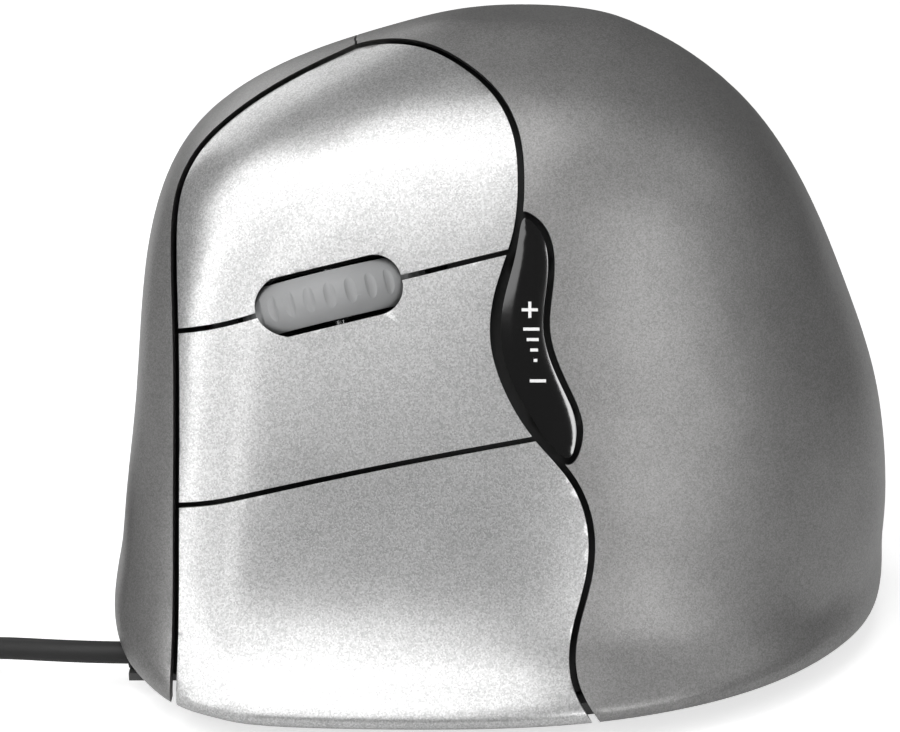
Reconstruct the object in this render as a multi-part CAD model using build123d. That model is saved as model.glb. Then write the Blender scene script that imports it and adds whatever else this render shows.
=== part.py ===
from build123d import *
import math
import os

# Overall size in millimetres. +Y is the cord end, +X the thumb side and +Z up from the desk.
body_length = 107.0
body_width = 84.0
body_height = 84.0
lip_height = 4.0  # lower edge of the shells above the desk
shell_wall = 2.2
seam_gap = 0.9  # between the button panels and the shells
side_gap = 0.35  # between the palm shell and the thumb shell
button_gap = 0.7  # between one finger button and the next
running_gap = 0.05  # a shaft in its bore, all round
loose_gap = 0.5  # between pieces that pass each other
overrun = 40.0  # how far a cutting tool runs past what it cuts

half_length = body_length / 2
half_width = body_width / 2
half_height = body_height / 2

# The moulded form, one row per level from the lip to the crown: height as a share of the rise
# from the lip, the finger, thumb, front and rear edges, the centres of the front and rear
# halves, the middle, and the roundness powers of the four corners (front finger, rear finger,
# rear thumb, front thumb). Places across are shares of the half width, along of the half length.
level_shares = (
    (0.000, -0.986, 0.986, 0.938, -0.994, 0.000, 0.286, 0.150, 3.80, 2.20, 2.40, 2.60),
    (0.018, -1.000, 1.000, 0.963, -1.000, 0.000, 0.286, 0.150, 3.80, 2.20, 2.40, 2.60),
    (0.063, -0.914, 0.986, 1.000, -1.000, 0.000, 0.286, 0.150, 3.80, 2.20, 2.40, 2.60),
    (0.131, -0.810, 0.905, 0.991, -1.000, 0.000, 0.238, 0.150, 3.80, 2.20, 2.40, 2.60),
    (0.238, -0.719, 0.750, 0.972, -0.991, 0.024, 0.190, 0.150, 3.80, 2.20, 2.30, 2.60),
    (0.388, -0.619, 0.631, 0.946, -0.953, 0.071, 0.190, 0.150, 3.70, 2.20, 2.20, 2.60),
    (0.538, -0.514, 0.607, 0.927, -0.875, 0.095, 0.238, 0.131, 3.60, 2.25, 2.20, 2.60),
    (0.688, -0.405, 0.631, 0.893, -0.778, 0.167, 0.262, 0.093, 3.40, 2.30, 2.20, 2.60),
    (0.819, -0.286, 0.643, 0.785, -0.654, 0.238, 0.286, 0.037, 3.10, 2.25, 2.20, 2.50),
    (0.913, -0.107, 0.607, 0.561, -0.505, 0.310, 0.310, 0.000, 2.60, 2.20, 2.10, 2.30),
    (0.975, 0.119, 0.524, 0.290, -0.346, 0.333, 0.333, -0.019, 2.30, 2.10, 2.00, 2.10),
    (1.000, 0.262, 0.429, 0.075, -0.159, 0.333, 0.333, -0.037, 2.00, 2.00, 2.00, 2.00),
)
points_per_level = 24
ridge_x_share = 0.32  # the crown between the finger side and the thumb side

# The finger face: a plane leaning back from the desk. On it u runs rearward, w up the face, and
# depth outward, so pieces behind the face have a negative depth.
face_tilt = 21.4
face_x_share = -0.524
face_z_share = 0.5
face_reach_in = 22.0  # panel cuts run this far behind the face plane
face_reach_out = 16.0

# Seams of the finger face in shares of the half length (u) and half height (w).
front_seam_shares = (
    (-0.815, -1.120), (-0.811, -0.714), (-0.811, -0.302), (-0.813, 0.212), (-0.821, 0.476),
    (-0.809, 0.676), (-0.766, 0.793), (-0.695, 0.890), (-0.551, 1.021), (-0.383, 1.133),
)
wave_seam_shares = (
    (-0.383, 1.133), (-0.280, 1.145), (-0.196, 1.121), (-0.107, 1.055), (-0.026, 0.955),
    (0.022, 0.826), (0.034, 0.690), (0.022, 0.512), (-0.021, 0.333), (-0.032, 0.179),
    (0.002, 0.029), (0.080, -0.129), (0.163, -0.257), (0.204, -0.405), (0.198, -0.560),
    (0.163, -0.738), (0.166, -0.876), (0.215, -0.993), (0.271, -1.119),
)
upper_seam_shares = (
    (-0.970, 0.205), (-0.815, 0.212), (-0.723, 0.224), (-0.594, 0.264), (-0.260, 0.374),
    (0.002, 0.455), (0.120, 0.492),
)
lower_seam_shares = (
    (-0.970, -0.338), (-0.804, -0.331), (-0.718, -0.321), (-0.634, -0.300), (-0.264, -0.200),
    (0.082, -0.119), (0.200, -0.092),
)
rocker_shares = (
    (0.049, 0.557), (0.086, 0.505), (0.099, 0.429), (0.092, 0.310), (0.088, 0.214),
    (0.105, 0.119), (0.138, 0.024), (0.166, -0.067), (0.166, -0.133), (0.150, -0.181),
    (0.112, -0.150), (0.060, -0.057), (0.013, 0.052), (-0.011, 0.155), (-0.013, 0.262),
    (0.013, 0.405), (0.030, 0.512),
)

# The seam between palm shell and thumb shell, seen from the thumb side: y in shares of the half
# length, z in shares of the body height. It starts over the crown where the face seams meet.
side_seam_shares = (
    (0.383, 1.100), (0.383, 0.950), (0.300, 0.860), (0.060, 0.755), (-0.180, 0.640),
    (-0.320, 0.500), (-0.370, 0.350), (-0.350, 0.210), (-0.270, 0.090), (-0.190, -0.050),
)

# Finger button hinge: one steel rod behind the rear ends of the three panels.
hinge_u_share = -0.0935
hinge_depth = 6.0
hinge_radius = 1.0
hinge_span_shares = (-0.762, 0.745)  # ends of the rod, in shares of the half height
knuckle_radius = 2.2
knuckle_width = 2.4
lug_width = 1.8
lower_knuckle_shares = (-0.667, -0.286)
middle_knuckle_shares = (-0.048, 0.190)
upper_knuckle_shares = (0.536, 0.667)
lug_shares = (-0.738, -0.476, -0.167, 0.071, 0.601, 0.726)

# Inner frame: a black skin just behind the seams, two ribs and the seats that grow from it.
frame_gap = 1.2  # between the shells and the frame
frame_skin = 1.6
frame_margin = 3.5  # how far the skin runs past each seam
frame_reach_in = 11.0
frame_top_share = 0.74  # above this share of the height the skin follows the crown
frame_tail_share = 0.86  # above this one it also runs on past the panels' ends
rib_thickness = 1.8
rib_reach_in = 17.0
rib_top_share = 0.70
rib_floor_share = 0.11
front_rib_u_share = -0.795
rear_rib_u_share = 0.245
frame_post_shares = ((-0.64, 0.35), (-0.62, -0.12), (0.70, -0.33))

# Base tray, feet and screws.
foot_height = 1.2  # the tray's underside above the desk
tray_thickness = 2.2
tray_rise = 3.8
tray_low_inset = 7.5
tray_high_inset = 3.7
foot_recess = 0.4
foot_length = 20.0
foot_width = 6.0
foot_place_shares = ((-0.38, 0.70, 0.0), (0.52, 0.66, 0.0), (-0.321, -0.464, 62.0), (0.50, -0.66, -38.0))
post_radius = 3.4
post_floor = 8.0  # height at which the shells' posts meet the tray's bosses
post_top = 24.0
post_web = 2.4  # the gusset that joins a post to its wall
palm_post_shares = ((0.57, -0.54), (-0.40, -0.58))
thumb_post_shares = ((0.60, 0.42), (0.11, 0.80))
boss_radius = 3.8
screw_radius = 1.3
screw_head_radius = 2.4
screw_head_height = 1.8
screw_grip = 7.0
board_screw_grip = 4.5
screw_well_radius = 2.9

# Scroll wheel, its carrier and its encoder, on an axis turned with the upper seam.
wheel_u_share = -0.426
wheel_w_share = 0.321
wheel_turn = 13.5
wheel_depth = 7.8
wheel_radius = 12.5
wheel_width = 6.4
wheel_crown = 2.0
slot_length = 18.8
slot_width = 7.9
slot_corner = 3.6
groove_count = 28
groove_radius = 0.95
groove_depth = 0.42
hub_radius = 9.4
hub_rim = 1.7
hub_web = 1.6
hub_boss_radius = 2.8
hub_hole_radius = 1.5
hub_hole_count = 5
axle_radius = 1.25
carrier_gap = 0.6
carrier_wall = 1.4
carrier_half_height = 2.4
carrier_top = 1.9  # above the axle, clear of a pressed button
carrier_pivot_reach = 15.4
carrier_switch_reach = 14.1
carrier_bar = 1.6
carrier_pin_radius = 0.9
carrier_eye_radius = 1.7
encoder_length = 11.0
encoder_width = 5.2
encoder_below = 3.8
encoder_above = 3.6

# Pointer speed rocker.
rocker_proud = 0.5
rocker_thickness = 2.6
rocker_pivot_share = 0.190  # w of the pivot
rocker_pivot_u_share = 0.040
rocker_pivot_depth = 5.0
rocker_pin_radius = 0.8
rocker_rib_width = 2.4
rocker_rib_length = 6.0
rocker_post_radius = 1.2
rocker_post_shares = ((0.062, 0.420), (0.124, -0.055))
rocker_travel = 0.45  # at the posts

# Button board and its switches.
board_depth = 12.5
board_thickness = 1.6
board_edge_shares = (-0.672, 0.186, -0.660, 0.700)  # u and w limits
board_corner = 8.0
pillar_radius = 2.4
pillar_shares = ((-0.636, 0.452), (0.060, 0.620), (-0.610, -0.330), (0.090, -0.540))
switch_length = 12.8
switch_width = 5.8
switch_height = 6.5
switch_spot_shares = ((-0.560, -0.548), (-0.550, -0.105), (-0.500, 0.607))  # lower, middle, upper
plunger_length = 2.4
plunger_width = 1.4
plunger_rise = 0.6
plunger_sink = 1.6
plunger_gap = 0.1
nub_radius = 1.5
nub_gap = 0.12
tact_size = 6.0
tact_height = 3.5
stem_radius = 1.7
stem_height = 1.0
click_size = 3.0
click_height = 1.0
click_stem_radius = 0.9
click_stem_height = 0.52

# Thumb buttons: two bars that slide straight in, on a board of their own.
thumb_button_spots_share = ((0.395, 0.750), (0.262, 0.634))  # y in half lengths, z in heights
thumb_button_lengths = (22.0, 29.0)
thumb_button_height = 6.6
thumb_button_turn = -4.0
thumb_button_gap = 0.35
thumb_button_proud = 0.8
thumb_button_wall = 1.3
thumb_flange = 1.2
thumb_flange_rim = 0.8
thumb_travel = 0.6
thumb_board_x_share = 0.310
thumb_board_length = 47.0
thumb_board_height = 22.0
thumb_board_spot_share = (0.266, 0.680)
thumb_pillar_shares = ((0.645, 0.660), (-0.112, 0.595))

# Main board with the optical sensor.
main_board_floor = 6.0
main_board_x_shares = (-0.405, 0.452)
main_board_y_shares = (-0.411, 0.715)
sensor_spot_share = (0.095, 0.130)
sensor_length = 12.0
sensor_width = 9.0
sensor_height = 2.6
lens_length = 19.0
lens_width = 11.0
lens_height = 1.6
lens_eye_radius = 2.2
window_length = 9.0
window_width = 7.0
led_radius = 1.5
led_length = 5.5
chip_size = 9.0
chip_height = 1.4
socket_length = 8.0
socket_width = 5.0
socket_height = 5.2
capacitor_radius = 2.5
capacitor_height = 6.0
board_boss_radius = 2.6
board_boss_shares = ((-0.310, -0.350), (0.360, -0.330), (-0.310, 0.480), (0.360, 0.640))

# Cord: one free lead, a coil of two spirals in and two out, and a tail to the plug.
cord_diameter = 3.0
inner_cord_diameter = 2.0  # without its jacket, inside the housing
cord_exit_x = -22.0
cord_exit_z = 5.4
cord_inner_y = 45.0  # where the jacket ends inside the housing
coil_west = -14.0  # the side of the coil that the lead runs into
coil_y = 106.0
coil_pitch = 3.46
coil_inner_radius = 11.4
coil_turns = 13.0417
coil_layers = 4
coil_sides = 6
tie_thickness = 0.6
tie_width = 6.0
tie_room = 0.35
tie_inner_room = 1.0
tie_angles = (45.0, 225.0)
grommet_radius = 2.0
grommet_flange = 0.9
grommet_flange_radius = 3.0
grommet_inner_y = 46.4
grommet_outer_y = 50.6
tongue_width = 4.0
tongue_length = 12.0
tongue_thickness = 1.1
plug_grip_length = 21.0
plug_grip_width = 15.0
plug_grip_height = 7.6
plug_grip_corner = 3.0
plug_neck_length = 8.5
plug_neck_root_radius = 3.4
plug_neck_radius = 2.3
plug_ring_count = 4
plug_ring_depth = 0.45
plug_ring_width = 0.8
plug_shell_length = 18.0
plug_shell_width = 12.0
plug_shell_height = 4.5
plug_shell_wall = 0.35
plug_sink = 6.0
plug_tongue_thickness = 1.84
plug_contact_count = 4
plug_contact_pitch = 2.3
plug_contact_width = 1.1
plug_contact_length = 7.4
plug_contact_thickness = 0.15

ridge_x = ridge_x_share * half_width
cord_radius = cord_diameter / 2
frame_inset = shell_wall + frame_gap
side_seam_y = side_seam_shares[0][0] * half_length

face = Plane(
    origin=(face_x_share * half_width, 0, face_z_share * body_height),
    x_dir=(0, -1, 0),
    z_dir=(-math.cos(math.radians(face_tilt)), 0, math.sin(math.radians(face_tilt))),
)


def level_outline(row, inset, height):
    """Closed horizontal curve of one level, drawn in by inset."""
    finger, thumb = row[1] * half_width + inset, row[2] * half_width - inset
    front, rear = row[3] * half_length - inset, row[4] * half_length + inset
    middle = row[7] * half_length
    points = []
    for step in range(points_per_level):
        angle = 2 * math.pi * step / points_per_level
        across, along = math.cos(angle), math.sin(angle)
        centre = (row[5] if along >= 0 else row[6]) * half_width
        if across < 0:
            power = row[8] if along >= 0 else row[9]
        else:
            power = row[11] if along >= 0 else row[10]
        reach_x = thumb - centre if across >= 0 else centre - finger
        reach_y = front - middle if along >= 0 else middle - rear
        x = centre + math.copysign(reach_x * abs(across) ** (2 / power), across)
        y = middle + math.copysign(reach_y * abs(along) ** (2 / power), along)
        points.append(Vector(x, y, height))
    steps = [step / points_per_level for step in range(points_per_level + 1)]
    return Wire([Edge.make_spline(points, periodic=True, parameters=steps)])


def body_form(inset=0.0, rows=level_shares):
    """The whole form drawn in by inset on every side and at the crown."""
    rise = body_height - lip_height
    wires = [level_outline(row, inset, lip_height + row[0] * rise - inset) for row in rows]
    return Solid.make_loft(wires, False)


def deep_form(inset):
    """An inner form; its crown stops one level lower, where there is still width to draw in."""
    return body_form(inset, level_shares[:-1])


def on_face(u, w, depth=0.0, turn=0.0):
    return face.location * Pos(u, w, depth) * Rot(0, 0, turn)


def face_points(shares):
    return [(u * half_length, w * half_height) for u, w in shares]


def beside(points, distance):
    """The points moved to the left of the way they run."""
    moved = []
    for index, (u, w) in enumerate(points):
        before = points[max(index - 1, 0)]
        after = points[min(index + 1, len(points) - 1)]
        du, dw = after[0] - before[0], after[1] - before[1]
        size = math.hypot(du, dw)
        moved.append((u - dw / size * distance, w + du / size * distance))
    return moved


def spline(points):
    return Edge.make_spline([Vector(u, w, 0) for u, w in points])


def line(start, end):
    return Edge.make_line(Vector(*start, 0), Vector(*end, 0))


def prism(flat, low, high):
    """A flat outline of the face plane, run from one depth to another."""
    return on_face(0, 0, low) * extrude(flat, high - low, dir=(0, 0, 1))


def face_prism(flat, reach_in=face_reach_in, reach_out=face_reach_out):
    return prism(flat, -reach_in, reach_out)


def panel_outline(margin):
    """Outline of all three button panels together, moved out from the seam's middle by margin."""
    front, wave = face_points(front_seam_shares), face_points(wave_seam_shares)
    moved = beside(front + wave[1:], margin)
    front, wave = moved[: len(front)], moved[len(front) - 1:]
    return Face(Wire([spline(front), spline(wave), line(wave[-1], front[0])]))


def panel_opening():
    """What the shells leave open for the button panels, a seam wider all round."""
    return face_prism(panel_outline(seam_gap / 2), face_reach_in + seam_gap)


def seam_strip(shares, gap):
    """A narrow strip along a seam that crosses the panels."""
    points = face_points(shares)
    over, under = beside(points, gap / 2), beside(points, -gap / 2)
    edges = [spline(over), line(over[-1], under[-1]), spline(under), line(under[0], over[0])]
    return Face(Wire(edges))


def rocker_outline(margin):
    points = face_points(rocker_shares)
    moved = beside(points[-1:] + points + points[:1], margin)[1:-1]
    return Face(Wire([Edge.make_spline([Vector(u, w, 0) for u, w in moved], periodic=True)]))


def thumb_region(shift):
    """All that lies ahead of the side seam, which is moved along Y by shift."""
    points = [(y * half_length + shift, z * body_height) for y, z in side_seam_shares]
    far = body_length
    corners = (points[-1], (far, points[-1][1]), (far, points[0][1]), points[0])
    edges = [Edge.make_spline([Vector(0, y, z) for y, z in points])]
    for (y0, z0), (y1, z1) in zip(corners, corners[1:]):
        edges.append(Edge.make_line(Vector(0, y0, z0), Vector(0, y1, z1)))
    side = Pos(ridge_x, 0, 0) * extrude(Face(Wire(edges)), body_width, dir=(1, 0, 0))
    start = side_seam_y + shift
    front = Pos(ridge_x, start, 0) * Box(
        body_width, far, 2 * body_height, align=(Align.MAX, Align.MIN, Align.CENTER)
    )
    return side + front


def upright(x, y, radius, low, high):
    return Pos(x, y, low) * Cylinder(
        radius, high - low, align=(Align.CENTER, Align.CENTER, Align.MIN)
    )


def block(x, y, low, length_x, length_y, height):
    return Pos(x, y, low) * Box(
        length_x, length_y, height, align=(Align.CENTER, Align.CENTER, Align.MIN)
    )


def face_block(u, w, low, high, length, width, turn=0.0):
    """A block on the face with its length along u, between two depths."""
    return on_face(u, w, low, turn) * Box(
        length, width, high - low, align=(Align.CENTER, Align.CENTER, Align.MIN)
    )


def face_rod(u, w, radius, low, high):
    return on_face(u, w, low) * Cylinder(
        radius, high - low, align=(Align.CENTER, Align.CENTER, Align.MIN)
    )


def rod_along_w(u, w, depth, radius, length):
    return on_face(u, w, depth) * Rot(90, 0, 0) * Cylinder(radius, length)


def rod_along_u(u, w, depth, radius, length):
    return on_face(u, w, depth) * Rot(0, 90, 0) * Cylinder(radius, length)


wheel_u = wheel_u_share * half_length
wheel_w = wheel_w_share * half_height


def on_wheel(along=0.0, across=0.0, depth=0.0):
    """A place near the wheel: along the slot, across it along the axle, and above the axle."""
    return on_face(wheel_u, wheel_w, -wheel_depth, wheel_turn) * Pos(along, across, depth)


def wheel_block(along, across, low, high, length, width):
    return on_wheel(along, across, low) * Box(
        length, width, high - low, align=(Align.CENTER, Align.CENTER, Align.MIN)
    )


def wheel_rod(along, across, depth, radius, length):
    """A cylinder parallel to the axle."""
    return on_wheel(along, across, depth) * Rot(90, 0, 0) * Cylinder(radius, length)


outer_form = body_form()
inner_form = body_form(shell_wall)
shell = outer_form - inner_form
frame_form = deep_form(frame_inset)
frame_solid_form = deep_form(frame_inset + frame_skin / 2)
floor_top = foot_height + tray_thickness
rim_top = foot_height + tray_rise
board_top = main_board_floor + board_thickness


# Casing

def shell_posts(spot_shares):
    """Screw posts over the tray's bosses, each joined to the nearest wall by a gusset."""
    posts = []
    for x_share, y_share in spot_shares:
        x, y = x_share * half_width, y_share * half_length
        web = Box(
            half_width, post_web, post_top - post_floor, align=(Align.MIN, Align.CENTER, Align.MIN)
        )
        outward = Pos(x, y, post_floor) * Rot(0, 0, math.degrees(math.atan2(y, x)))
        posts.append(upright(x, y, post_radius, post_floor, post_top) & outer_form)
        posts.append(outward * web & outer_form)
    return posts


def pilot_holes(spot_shares):
    return [
        upright(x * half_width, y * half_length, screw_radius, 0, post_floor + screw_grip)
        for x, y in spot_shares
    ]


def make_palm_shell():
    palm = shell - [
        panel_opening(),
        face_prism(rocker_outline(seam_gap)),
        thumb_region(-side_gap / 2),
    ]
    palm += shell_posts(palm_post_shares)
    return palm - pilot_holes(palm_post_shares)


def cord_notch(clearance):
    """The opening for the cord's grommet, open at the lower edge of the shell."""
    radius = grommet_radius + clearance
    hole = rod_along_y(cord_exit_x, cord_exit_z, radius, grommet_inner_y, grommet_inner_y + overrun)
    slot = Pos(cord_exit_x, grommet_inner_y, 0) * Box(
        2 * radius, overrun, cord_exit_z, align=(Align.CENTER, Align.MIN, Align.MIN)
    )
    return hole + slot


def rod_along_y(x, z, radius, start, end):
    return Pos(x, start, z) * Rot(-90, 0, 0) * Cylinder(
        radius, end - start, align=(Align.CENTER, Align.CENTER, Align.MIN)
    )


def rod_along_x(y, z, radius, start, end):
    return Pos(start, y, z) * Rot(0, 90, 0) * Cylinder(
        radius, end - start, align=(Align.CENTER, Align.CENTER, Align.MIN)
    )


thumb_board_x = thumb_board_x_share * half_width
thumb_board_face = thumb_board_x + board_thickness
thumb_nub_x = thumb_board_face + tact_height + stem_height + thumb_travel + nub_gap
thumb_flange_x = thumb_nub_x + thumb_button_gap


def thumb_bar(index, margin, start, length_x=body_width):
    """Outline prism of one thumb button, run outward along X from a start plane."""
    y, z = thumb_button_spots_share[index]
    length, height = thumb_button_lengths[index] + 2 * margin, thumb_button_height + 2 * margin
    plane = Plane(
        origin=(start, y * half_length, z * body_height), x_dir=(0, 1, 0), z_dir=(1, 0, 0)
    )
    flat = RectangleRounded(length, height, height / 2 - running_gap)
    return plane.location * Rot(0, 0, thumb_button_turn) * extrude(flat, length_x)


def make_thumb_shell():
    thumb = (shell - panel_opening()) & thumb_region(side_gap / 2)
    spots = [(y * half_length, z * body_height) for y, z in thumb_pillar_shares]
    pillars = [
        rod_along_x(y, z, pillar_radius, thumb_board_face, half_width) & outer_form
        for y, z in spots
    ]
    thumb += shell_posts(thumb_post_shares) + pillars
    cuts = pilot_holes(thumb_post_shares)
    for y, z in spots:
        cuts.append(
            rod_along_x(y, z, screw_radius, thumb_board_face, thumb_board_face + board_screw_grip)
        )
    for index in range(len(thumb_button_spots_share)):
        cuts.append(thumb_bar(index, thumb_button_gap, thumb_flange_x))
        cuts.append(thumb_bar(
            index, thumb_flange_rim + thumb_button_gap, thumb_board_face,
            thumb_flange_x + thumb_flange + thumb_button_gap - thumb_board_face,
        ))
    cuts.append(cord_notch(running_gap))
    return thumb - cuts


def make_thumb_button(index):
    """A hollow bar with a flange behind the shell's wall and a nub over its switch."""
    bar = thumb_bar(index, 0, thumb_flange_x) & body_form(-thumb_button_proud)
    hollow_start = thumb_flange_x + thumb_flange
    hollow = thumb_bar(index, -thumb_button_wall, hollow_start) & inner_form
    flange = thumb_bar(index, thumb_flange_rim, thumb_flange_x, thumb_flange)
    y, z = thumb_button_spots_share[index]
    nub = rod_along_x(
        y * half_length, z * body_height, nub_radius, thumb_nub_x, thumb_flange_x + thumb_flange
    )
    return (bar - hollow) + [flange, nub]


def make_base_tray():
    lip_row = level_shares[0]
    outside = Solid.make_loft([
        level_outline(lip_row, tray_low_inset, foot_height),
        level_outline(lip_row, tray_high_inset, rim_top),
    ], True)
    inside = Solid.make_loft([
        level_outline(lip_row, tray_low_inset + tray_thickness, floor_top),
        level_outline(lip_row, tray_high_inset + tray_thickness, rim_top + tray_thickness),
    ], True)
    posts = [
        (x * half_width, y * half_length)
        for x, y in palm_post_shares + thumb_post_shares + frame_post_shares
    ]
    boards = [(x * half_width, y * half_length) for x, y in board_boss_shares]
    low = foot_height + tray_thickness / 2
    bosses = [upright(x, y, boss_radius, low, post_floor) for x, y in posts]
    bosses += [upright(x, y, board_boss_radius, low, main_board_floor) for x, y in boards]
    cuts = foot_pads(loose_gap / 2)
    cuts += [upright(x, y, screw_radius, floor_top, main_board_floor) for x, y in boards]
    cuts += [upright(x, y, screw_radius, 0, post_floor) for x, y in posts]
    cuts += [upright(x, y, screw_well_radius, 0, screw_seat) for x, y in posts]
    x, y = sensor_spot_share
    cuts.append(
        block(x * half_width, y * half_length, 0, window_width, window_length, post_floor)
    )
    tongue_top = cord_exit_z - grommet_radius - running_gap
    tongue = Pos(cord_exit_x, grommet_outer_y, tongue_top) * Box(
        tongue_width, tongue_length, tongue_thickness, align=(Align.CENTER, Align.MAX, Align.MAX)
    )
    cord_room = Pos(cord_exit_x, grommet_outer_y, floor_top) * Box(
        2 * grommet_flange_radius, tongue_length, overrun,
        align=(Align.CENTER, Align.MAX, Align.MIN),
    )
    tray = (outside - [inside, cord_room]) + bosses + tongue
    return tray - cuts


def foot_pads(margin):
    pads = []
    for x, y, turn in foot_place_shares:
        flat = SlotOverall(foot_length + 2 * margin, foot_width + 2 * margin)
        pad = extrude(flat, foot_height + foot_recess)
        pads.append(Pos(x * half_width, y * half_length, 0) * Rot(0, 0, turn) * pad)
    return pads


screw_seat = floor_top + screw_head_height / 2  # where the housing screws' heads bear


def screw(length):
    """A pan head screw, head down, its head resting at zero height."""
    head = Cylinder(
        screw_head_radius, screw_head_height, align=(Align.CENTER, Align.CENTER, Align.MAX)
    )
    shank = Cylinder(
        screw_radius - running_gap, length, align=(Align.CENTER, Align.CENTER, Align.MIN)
    )
    return head + shank


def make_housing_screws():
    length = post_floor + screw_grip - screw_seat - loose_gap
    return [
        Pos(x * half_width, y * half_length, screw_seat) * screw(length)
        for x, y in palm_post_shares + thumb_post_shares + frame_post_shares
    ]


def make_board_screws():
    short = screw(board_thickness + board_screw_grip - loose_gap)
    shortest = screw(board_top - floor_top - loose_gap)
    screws = [
        Pos(x * half_width, y * half_length, board_top) * Rot(180, 0, 0) * shortest
        for x, y in board_boss_shares
    ]
    for u, w in pillar_shares:
        place = on_face(u * half_length, w * half_height, -board_depth - board_thickness)
        screws.append(place * short)
    for y, z in thumb_pillar_shares:
        screws.append(
            Pos(thumb_board_x, y * half_length, z * body_height) * Rot(0, 90, 0) * short
        )
    return screws


# Inner frame

def make_frame_skin():
    skin = frame_form - deep_form(frame_inset + frame_skin)
    skin &= above(rim_top + loose_gap)
    flat = panel_outline(seam_gap / 2 + frame_margin)
    near = face_prism(flat, frame_reach_in) + face_prism(
        rocker_outline(seam_gap + frame_margin), frame_reach_in
    )
    crown = [
        face_prism(flat) & above(frame_top_share * body_height),
        face_prism(flat, face_reach_in + frame_margin) & above(frame_tail_share * body_height),
    ]
    band = thumb_region(-frame_margin) - thumb_region(frame_margin)
    return (skin & (near + crown)) + (skin & band)


def above(height):
    return Pos(0, 0, height) * Box(
        2 * body_width, 2 * body_length, body_height,
        align=(Align.CENTER, Align.CENTER, Align.MIN),
    )


def make_rib(u):
    """A flat rib behind the skin, from just over the cord to below the crown."""
    slab = face_block(u, 0, -rib_reach_in, face_reach_out, rib_thickness, 2 * body_height)
    floor = rib_floor_share * body_height
    room = Pos(0, 0, floor) * Box(
        2 * body_width, 2 * body_length, rib_top_share * body_height - floor,
        align=(Align.CENTER, Align.CENTER, Align.MIN),
    )
    return slab & room & frame_solid_form


def make_inner_frame():
    hinge_u = hinge_u_share * half_length
    windows = []
    for share in lower_knuckle_shares + middle_knuckle_shares + upper_knuckle_shares:
        windows.append(face_block(
            hinge_u, share * half_height, -hinge_depth - knuckle_radius - loose_gap,
            face_reach_out, 2 * (knuckle_radius + loose_gap), knuckle_width + 2 * loose_gap,
        ))
    for u, w in switch_spot_shares:
        windows.append(face_block(
            u * half_length, w * half_height, -board_depth, face_reach_out,
            switch_length + 2 * loose_gap, switch_width + 2 * loose_gap,
        ))
    wheel_room = wheel_radius + loose_gap
    windows.append(wheel_block(
        0, 0, 0, face_reach_out, 2 * wheel_room, wheel_width + 4 * loose_gap
    ))
    windows.append(wheel_block(
        carrier_middle(), 0, -carrier_half_height - carrier_gap, face_reach_out,
        carrier_length() + 2 * carrier_gap, 2 * (carrier_half_width() + carrier_gap),
    ))
    windows.append(wheel_block(
        -carrier_pivot_reach, 0, -carrier_eye_radius - carrier_gap, face_reach_out,
        2 * (carrier_eye_radius + carrier_gap), 2 * (carrier_half_width() + carrier_gap),
    ))
    windows.append(wheel_block(
        0, encoder_across(), -encoder_below - carrier_gap, face_reach_out,
        encoder_length + 2 * carrier_gap, encoder_width + 2 * carrier_gap,
    ))
    windows.append(rod_along_y(
        cord_exit_x, cord_exit_z, grommet_flange_radius + loose_gap, 0, half_length
    ))
    for index in range(len(thumb_button_spots_share)):
        windows.append(thumb_bar(index, thumb_flange_rim + loose_gap, thumb_board_x))
    windows.append(face_block(
        rocker_pivot_u_share * half_length, rocker_pivot_share * half_height, -board_depth,
        face_reach_out, rocker_rib_width + 2 * loose_gap, rocker_rib_length + 2 * loose_gap,
    ))
    for u, w in rocker_post_shares:
        windows.append(face_rod(
            u * half_length, w * half_height, rocker_post_radius + loose_gap,
            -board_depth, face_reach_out,
        ))
    seats = []
    for share in lug_shares:
        seats.append(face_block(
            hinge_u, share * half_height, -hinge_depth - knuckle_radius, face_reach_out,
            2 * knuckle_radius, lug_width,
        ))
    for u, w in pillar_shares:
        seats.append(face_rod(u * half_length, w * half_height, pillar_radius, -board_depth, 0))
    for side in (-1, 1):
        seats += [carrier_lug(side), rocker_lug(side)]
    for x, y in frame_post_shares:
        seats.append(upright(
            x * half_width, y * half_length, post_radius, post_floor, half_height
        ))
    ribs = [make_rib(share * half_length) for share in (front_rib_u_share, rear_rib_u_share)]
    seats = [seat & frame_solid_form for seat in seats]
    frame = (make_frame_skin() - windows) + seats + ribs
    low, high = hinge_span_shares
    bores = pilot_holes(frame_post_shares) + [rocker_pin_rod(running_gap)]
    bores.append(rod_along_w(
        hinge_u, (low + high) / 2 * half_height, -hinge_depth, hinge_radius + running_gap,
        (high - low) * half_height + lug_width,
    ))
    bores.append(wheel_rod(
        -carrier_pivot_reach, 0, 0, carrier_pin_radius + running_gap, 2 * carrier_pin_half()
    ))
    for u, w in pillar_shares:
        bores.append(face_rod(
            u * half_length, w * half_height, screw_radius, -board_depth,
            board_screw_grip - board_depth,
        ))
    return frame - bores


def carrier_half_width():
    return wheel_width / 2 + carrier_gap + carrier_wall


def carrier_length():
    return carrier_pivot_reach + carrier_switch_reach + carrier_bar / 2


def carrier_middle():
    return (carrier_switch_reach + carrier_bar / 2 - carrier_pivot_reach) / 2


def carrier_pin_half():
    return carrier_half_width() + carrier_gap + lug_width


def carrier_lug(side):
    across = side * (carrier_half_width() + carrier_gap + lug_width / 2)
    return wheel_block(
        -carrier_pivot_reach, across, -carrier_eye_radius, wheel_depth,
        2 * carrier_eye_radius, lug_width,
    )


def rocker_lug(side):
    u = rocker_pivot_u_share * half_length + side * (
        rocker_rib_width / 2 + loose_gap + lug_width / 2
    )
    return face_block(
        u, rocker_pivot_share * half_height, -rocker_pivot_depth - 2 * rocker_pin_radius,
        0, lug_width, rocker_rib_length,
    )


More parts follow.
